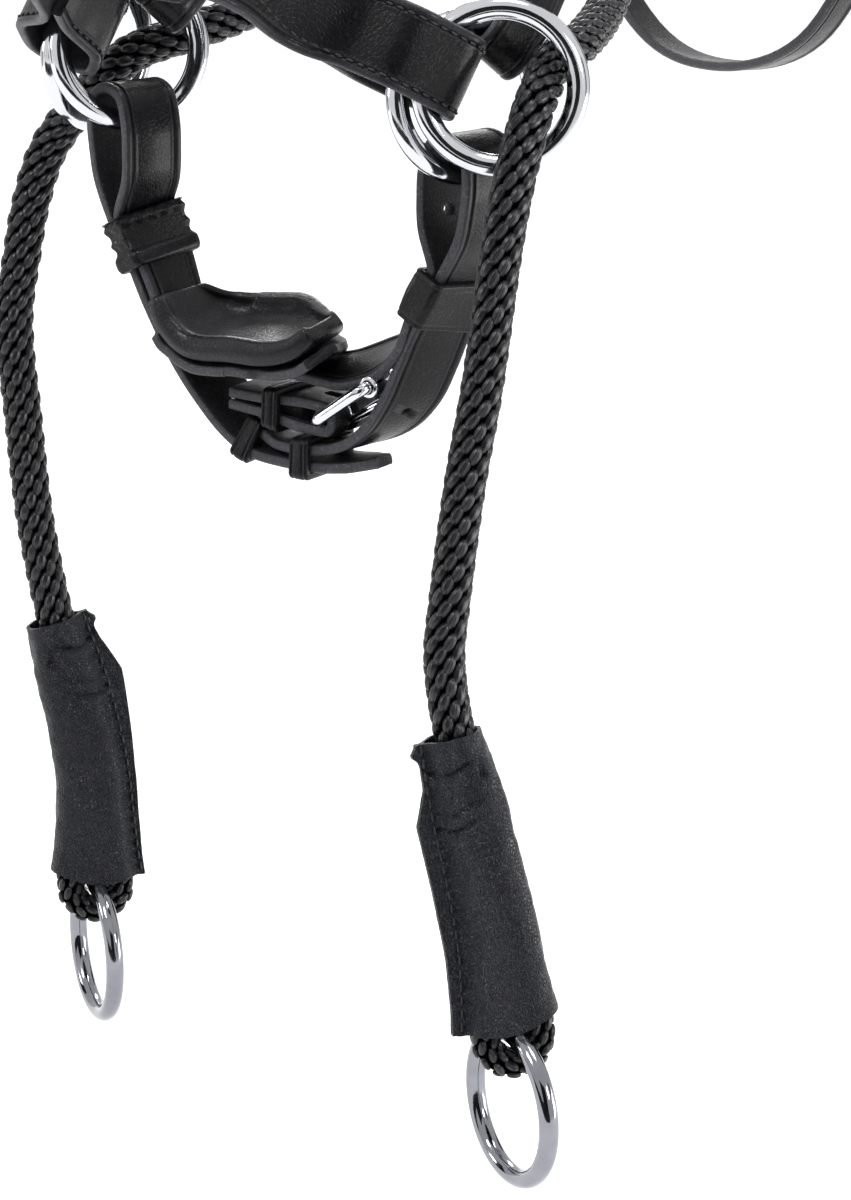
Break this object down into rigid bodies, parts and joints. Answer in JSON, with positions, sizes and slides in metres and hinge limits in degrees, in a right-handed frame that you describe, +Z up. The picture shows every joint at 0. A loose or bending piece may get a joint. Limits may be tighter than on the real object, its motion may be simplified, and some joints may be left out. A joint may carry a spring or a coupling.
{
  "type": "bitless bridle",
  "caption": "Cross-under bitless bridle of black leather with chrome rings, and ropes that cross under the jaw to stitched sleeves with rein rings.",
  "frame": {"origin": "at the poll, on the underside of the headpiece's padding, midway between the cheek straps", "axes": "+Z up, -Y forward towards the horse's nose, +X to the horse's left"},
  "size_m": [0.2436, 0.3768, 0.6451],
  "materials": {
    "strap_leather": "satin, faintly polished",
    "pad_leather": "soft, padded",
    "sleeve_leather": "matt, fine grain",
    "rope": "braided",
    "chrome": "polished"
  },
  "bodies": {
    "bridle": {"browband": "strap_leather", "browband_loop_left": "strap_leather", "browband_loop_right": "strap_leather", "cheek_keeper_upper_left": "strap_leather", "cheek_keeper_upper_right": "strap_leather", "cheek_left_buckle": "chrome", "cheek_right_buckle": "chrome", "cheekpiece_left": "strap_leather", "cheekpiece_right": "strap_leather", "chin_billet": "strap_leather", "chin_buckle": "chrome", "chin_chape": "strap_leather", "chin_keeper_buckle": "chrome", "chin_keeper_left": "strap_leather", "chin_keeper_pad": "strap_leather", "chin_keeper_right": "strap_leather", "chin_keeper_tip": "strap_leather", "chin_pad": "pad_leather", "chin_pad_backing": "pad_leather", "chin_strap": "strap_leather", "headpiece": "strap_leather", "headpiece_padding": "pad_leather", "nosepiece": "strap_leather", "nosepiece_padding": "pad_leather", "rope_anchor_left": "strap_leather", "rope_anchor_right": "strap_leather", "rope_left": "rope", "rope_right": "rope", "rope_sleeve_left": "sleeve_leather", "rope_sleeve_right": "sleeve_leather", "throat_billet": "strap_leather", "throat_buckle": "chrome", "throat_keeper_upper": "strap_leather", "throatlatch": "strap_leather"},
    "noseband_ring_left": {"noseband_ring_left": "chrome"},
    "rope_ring_left": {"rope_ring_left": "chrome"},
    "rein_ring_left": {"rein_ring_left": "chrome"},
    "cheek_left_tongue": {"cheek_left_buckle_tongue": "chrome"},
    "cheek_sliding_keeper_left": {"cheek_keeper_lower_left": "strap_leather"},
    "noseband_ring_right": {"noseband_ring_right": "chrome"},
    "rope_ring_right": {"rope_ring_right": "chrome"},
    "rein_ring_right": {"rein_ring_right": "chrome"},
    "cheek_right_tongue": {"cheek_right_buckle_tongue": "chrome"},
    "cheek_sliding_keeper_right": {"cheek_keeper_lower_right": "strap_leather"},
    "throat_tongue": {"throat_buckle_tongue": "chrome"},
    "throat_sliding_keeper": {"throat_keeper_lower": "strap_leather"},
    "chin_tongue": {"chin_buckle_tongue": "chrome"},
    "chin_roller": {"chin_buckle_roller": "chrome"}
  },
  "joints": [
    {"name": "noseband_ring_left_turn", "type": "hinge", "parent": "bridle", "child": "noseband_ring_left", "pos_m": [0.0563, -0.265, -0.3175], "axis": [0.8788, -0.4478, 0.165], "continuous": true},
    {"name": "rope_ring_left_turn", "type": "hinge", "parent": "bridle", "child": "rope_ring_left", "pos_m": [0.0731, -0.2726, -0.3119], "axis": [0.5936, -0.7877, 0.165], "continuous": true},
    {"name": "rein_ring_left_swing", "type": "hinge", "parent": "bridle", "child": "rein_ring_left", "pos_m": [0.10644, -0.30894, -0.57477], "axis": [0.891, -0.454, 0], "range_deg": [-30, 30]},
    {"name": "cheek_left_tongue_lift", "type": "hinge", "parent": "bridle", "child": "cheek_left_tongue", "pos_m": [0.06836, -0.13496, -0.16665], "axis": [-0.0001, 0.7586, -0.6515], "range_deg": [0, 6]},
    {"name": "cheek_keeper_left_slide", "type": "slide", "parent": "bridle", "child": "cheek_sliding_keeper_left", "axis": [0.044, 0.6509, 0.7579], "range_m": [-0.006, 0]},
    {"name": "noseband_ring_right_turn", "type": "hinge", "parent": "bridle", "child": "noseband_ring_right", "pos_m": [-0.0652, -0.2661, -0.315], "axis": [0.8272, -0.5372, 0.165], "continuous": true},
    {"name": "rope_ring_right_turn", "type": "hinge", "parent": "bridle", "child": "rope_ring_right", "pos_m": [-0.0835, -0.259, -0.3182], "axis": [1, 0, 0], "continuous": true},
    {"name": "rein_ring_right_swing", "type": "hinge", "parent": "bridle", "child": "rein_ring_right", "pos_m": [-0.08266, -0.26733, -0.58749], "axis": [0.829, -0.5592, 0], "range_deg": [-30, 30]},
    {"name": "cheek_right_tongue_lift", "type": "hinge", "parent": "bridle", "child": "cheek_right_tongue", "pos_m": [-0.06697, -0.13616, -0.16467], "axis": [-0.0001, -0.7586, 0.6515], "range_deg": [0, 6]},
    {"name": "cheek_keeper_right_slide", "type": "slide", "parent": "bridle", "child": "cheek_sliding_keeper_right", "axis": [-0.044, 0.6509, 0.7579], "range_m": [-0.006, 0]},
    {"name": "throat_tongue_lift", "type": "hinge", "parent": "bridle", "child": "throat_tongue", "pos_m": [0.084, -0.042, -0.222], "axis": [0, 0.9949, -0.1005], "range_deg": [0, 6]},
    {"name": "throat_keeper_slide", "type": "slide", "parent": "bridle", "child": "throat_sliding_keeper", "axis": [0.1, 0.1, 0.99], "range_m": [-0.006, 0]},
    {"name": "chin_tongue_lift", "type": "hinge", "parent": "bridle", "child": "chin_tongue", "pos_m": [0.0136, -0.2665, -0.416], "axis": [0, 1, 0], "range_deg": [0, 3]},
    {"name": "chin_roller_turn", "type": "hinge", "parent": "bridle", "child": "chin_roller", "pos_m": [0.03057, -0.2665, -0.40364], "axis": [0, 1, 0], "continuous": true}
  ]
}
